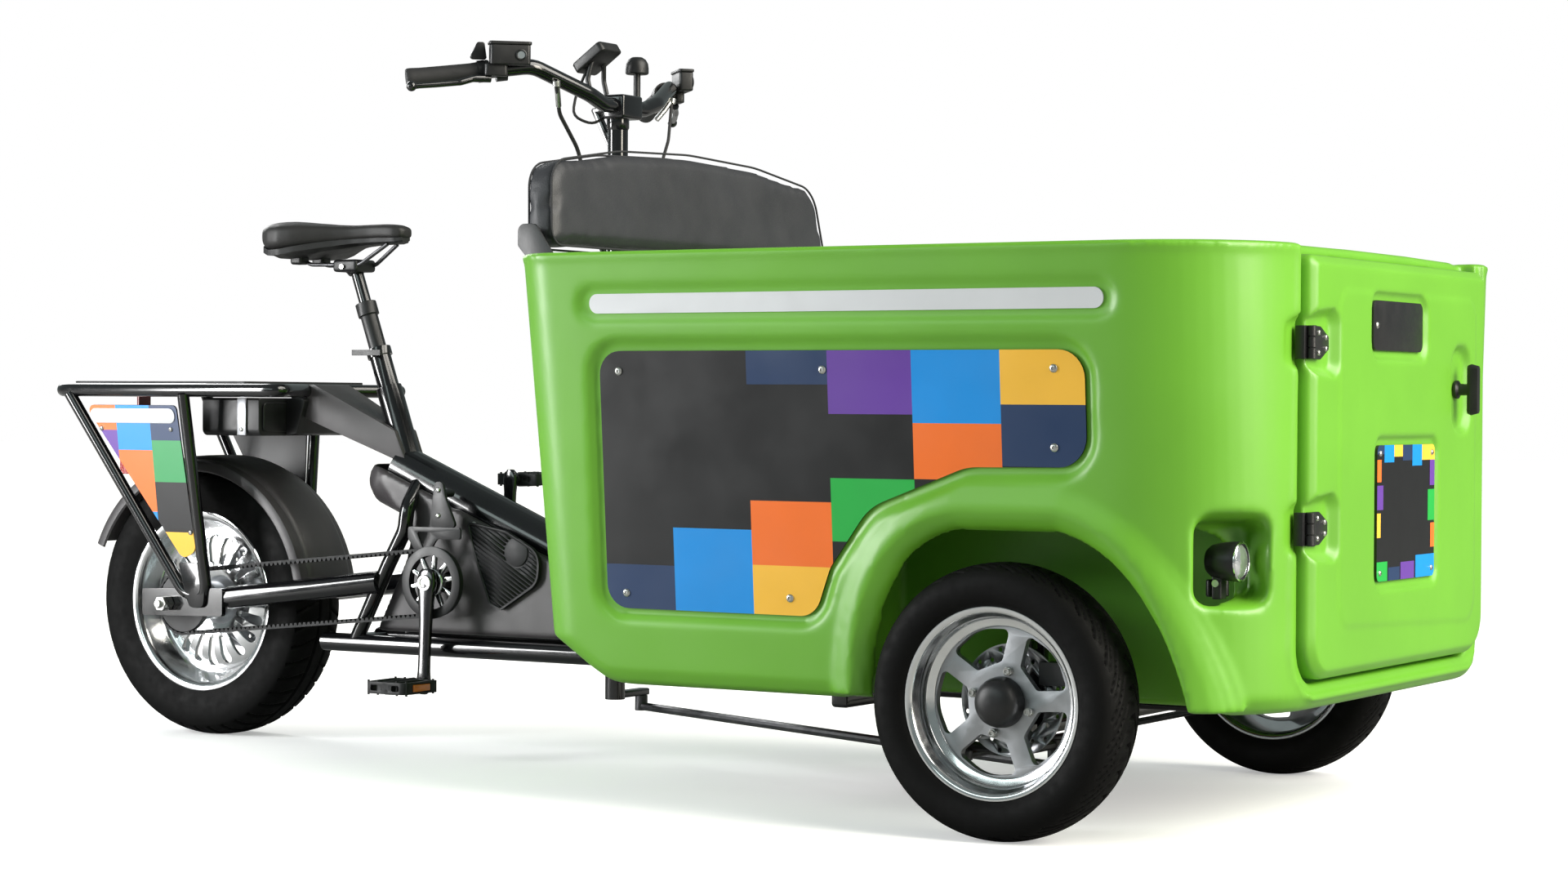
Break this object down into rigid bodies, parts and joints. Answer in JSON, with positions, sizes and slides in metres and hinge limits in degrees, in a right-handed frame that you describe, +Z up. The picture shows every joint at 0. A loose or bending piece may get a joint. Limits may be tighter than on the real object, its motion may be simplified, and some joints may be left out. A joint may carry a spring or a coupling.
{
  "type": "cargo bicycle",
  "caption": "Front-loading cargo bicycle: tapered box with bench, hinged front door and colour panels on steered small wheels, belt-driven larger rear wheel with rack.",
  "frame": {"origin": "centre of the overall length and width, on the ground", "axes": "+X forward along the length, +Y to the rider's left, +Z up"},
  "size_m": [2.5464, 1.1148, 1.2126],
  "materials": {
    "frame_paint": "gloss black",
    "box_plastic": "fine-grained leaf green moulded plastic",
    "black_plastic": "satin black",
    "panel_print": "printed colour blocks under a semi-gloss film",
    "tyre_rubber": "matte black",
    "soft_rubber": "matte black",
    "wheel_alloy": "polished",
    "steel": "satin",
    "vinyl": "dark grey coated upholstery with stitching",
    "floor_board": "satin red",
    "red_lens": "clear red"
  },
  "bodies": {
    "frame": {"main_frame": "frame_paint", "lower_frame": "frame_paint", "rear_stay_right": "frame_paint", "rear_stay_left": "frame_paint", "rear_axle": "steel", "chassis_frame": "frame_paint", "drive_cover": "black_plastic", "motor_cover": "black_plastic", "drive_belt": "soft_rubber", "rack_frame": "frame_paint", "rack_deck": "black_plastic", "rack_panel_right": "panel_print", "rack_panel_left": "panel_print", "battery_box": "black_plastic", "tail_light": "red_lens", "rear_fender": "frame_paint", "cargo_box": "box_plastic", "side_panel_right": "panel_print", "side_panel_left": "panel_print", "box_floor": "floor_board", "bench_cushion": "vinyl", "hinge_lower": "black_plastic", "hinge_upper": "black_plastic", "headlight_right": "black_plastic", "headlight_left": "black_plastic"},
    "steering": {"steering_column": "frame_paint", "handlebar": "frame_paint", "grip_right": "soft_rubber", "grip_left": "soft_rubber", "brake_master_right": "black_plastic", "brake_master_left": "black_plastic", "display": "black_plastic", "bell": "black_plastic", "brake_hose_right": "soft_rubber", "brake_hose_left": "soft_rubber"},
    "lever_right": {"brake_lever_right": "black_plastic"},
    "lever_left": {"brake_lever_left": "black_plastic"},
    "thumb_shifter": {"thumb_lever": "black_plastic"},
    "knuckle_right": {"upright_right": "black_plastic"},
    "knuckle_left": {"upright_left": "black_plastic"},
    "front_wheel_right": {"front_tyre_right": "tyre_rubber", "front_rim_right": "wheel_alloy"},
    "front_wheel_left": {"front_tyre_left": "tyre_rubber", "front_rim_left": "wheel_alloy"},
    "track_rod": {"tie_rod": "steel"},
    "steering_link": {"drag_link": "steel"},
    "rear_wheel": {"rear_tyre": "tyre_rubber", "rear_rim": "wheel_alloy"},
    "freewheel": {"rear_sprocket": "black_plastic"},
    "cranks": {"crankset": "black_plastic"},
    "pedal_r": {"pedal_right": "black_plastic"},
    "pedal_l": {"pedal_left": "black_plastic"},
    "post": {"seatpost": "black_plastic"},
    "saddle": {"saddle_shaft": "black_plastic", "saddle_pad": "vinyl"},
    "seat_quick_release": {"seat_clamp_lever": "black_plastic"},
    "front_door": {"door": "box_plastic", "door_board": "panel_print"},
    "door_latch": {"door_handle": "black_plastic"},
    "seat_back": {"backrest": "vinyl"}
  },
  "joints": [
    {"name": "steering_turn", "type": "hinge", "parent": "frame", "child": "steering", "pos_m": [-0.1485, 0, 0.9], "axis": [0, 0, 1], "range_deg": [-35, 35]},
    {"name": "kingpin_right", "type": "hinge", "parent": "frame", "child": "knuckle_right", "pos_m": [0.8465, -0.45, 0.19], "axis": [0, 0, 1], "range_deg": [-25, 25]},
    {"name": "kingpin_left", "type": "hinge", "parent": "frame", "child": "knuckle_left", "pos_m": [0.8465, 0.45, 0.19], "axis": [0, 0, 1], "range_deg": [-25, 25]},
    {"name": "track_rod_slide", "type": "slide", "parent": "frame", "child": "track_rod", "axis": [0, 1, 0], "range_m": [-0.05, 0.05]},
    {"name": "steering_link_slide", "type": "slide", "parent": "frame", "child": "steering_link", "axis": [1, 0, 0], "range_m": [-0.05, 0.05]},
    {"name": "front_wheel_right_spin", "type": "hinge", "parent": "knuckle_right", "child": "front_wheel_right", "pos_m": [0.8465, -0.496, 0.19377], "axis": [0, 1, 0], "continuous": true},
    {"name": "front_wheel_left_spin", "type": "hinge", "parent": "knuckle_left", "child": "front_wheel_left", "pos_m": [0.8465, 0.496, 0.19377], "axis": [0, 1, 0], "continuous": true},
    {"name": "rear_wheel_spin", "type": "hinge", "parent": "frame", "child": "rear_wheel", "pos_m": [-1.0195, 0, 0.24346], "axis": [0, 1, 0], "continuous": true},
    {"name": "crank_spin", "type": "hinge", "parent": "frame", "child": "cranks", "pos_m": [-0.4585, 0, 0.298], "axis": [0, 1, 0], "continuous": true},
    {"name": "freewheel_spin", "type": "hinge", "parent": "frame", "child": "freewheel", "pos_m": [-1.0195, -0.098, 0.24346], "axis": [0, 1, 0], "continuous": true},
    {"name": "pedal_right_spin", "type": "hinge", "parent": "cranks", "child": "pedal_r", "pos_m": [-0.4585, -0.185, 0.126], "axis": [0, 1, 0], "continuous": true},
    {"name": "pedal_left_spin", "type": "hinge", "parent": "cranks", "child": "pedal_l", "pos_m": [-0.4585, 0.185, 0.47], "axis": [0, 1, 0], "continuous": true},
    {"name": "seatpost_height", "type": "slide", "parent": "frame", "child": "post", "axis": [-0.3351, 0, 0.9422], "range_m": [-0.055, 0.05]},
    {"name": "saddle_suspension", "type": "slide", "parent": "post", "child": "saddle", "axis": [-0.3351, 0, 0.9422], "range_m": [-0.04, 0], "stiffness_N_per_m": 25000, "springref_m": 0.004},
    {"name": "seat_quick_release_turn", "type": "hinge", "parent": "frame", "child": "seat_quick_release", "pos_m": [-0.68774, 0, 0.69283], "axis": [0, 1, 0], "range_deg": [0, 120]},
    {"name": "brake_lever_right_pull", "type": "hinge", "parent": "steering", "child": "lever_right", "pos_m": [-0.21291, -0.27382, 1.13191], "axis": [0, 0, -1], "range_deg": [0, 12], "stiffness_Nm_per_rad": 3, "springref_deg": -5.73},
    {"name": "brake_lever_left_pull", "type": "hinge", "parent": "steering", "child": "lever_left", "pos_m": [-0.21291, 0.27382, 1.13191], "axis": [0, 0, 1], "range_deg": [0, 12], "stiffness_Nm_per_rad": 3, "springref_deg": -5.73},
    {"name": "thumb_lever_press", "type": "hinge", "parent": "steering", "child": "thumb_shifter", "pos_m": [-0.23866, -0.26385, 1.14568], "axis": [-0.7163, -0.6851, -0.1324], "range_deg": [0, 15], "stiffness_Nm_per_rad": 0.5},
    {"name": "door_swing", "type": "hinge", "parent": "frame", "child": "front_door", "pos_m": [1.2435, -0.36, 0.5], "axis": [0, 0, -1], "range_deg": [0, 110]},
    {"name": "door_handle_turn", "type": "hinge", "parent": "front_door", "child": "door_latch", "pos_m": [1.2565, 0.236, 0.635], "axis": [1, 0, 0], "range_deg": [0, 90]},
    {"name": "backrest_fold", "type": "hinge", "parent": "frame", "child": "seat_back", "pos_m": [-0.0255, 0, 0.885], "axis": [0, 1, 0], "range_deg": [0, 85]}
  ],
  "couplings": [
    {"joint": "kingpin_right", "follows": "steering_turn", "ratio": 0.714},
    {"joint": "kingpin_left", "follows": "steering_turn", "ratio": 0.714},
    {"joint": "track_rod_slide", "follows": "steering_turn", "m_per_rad": -0.075},
    {"joint": "steering_link_slide", "follows": "steering_turn", "m_per_rad": -0.08},
    {"joint": "freewheel_spin", "follows": "crank_spin", "ratio": 1}
  ]
}
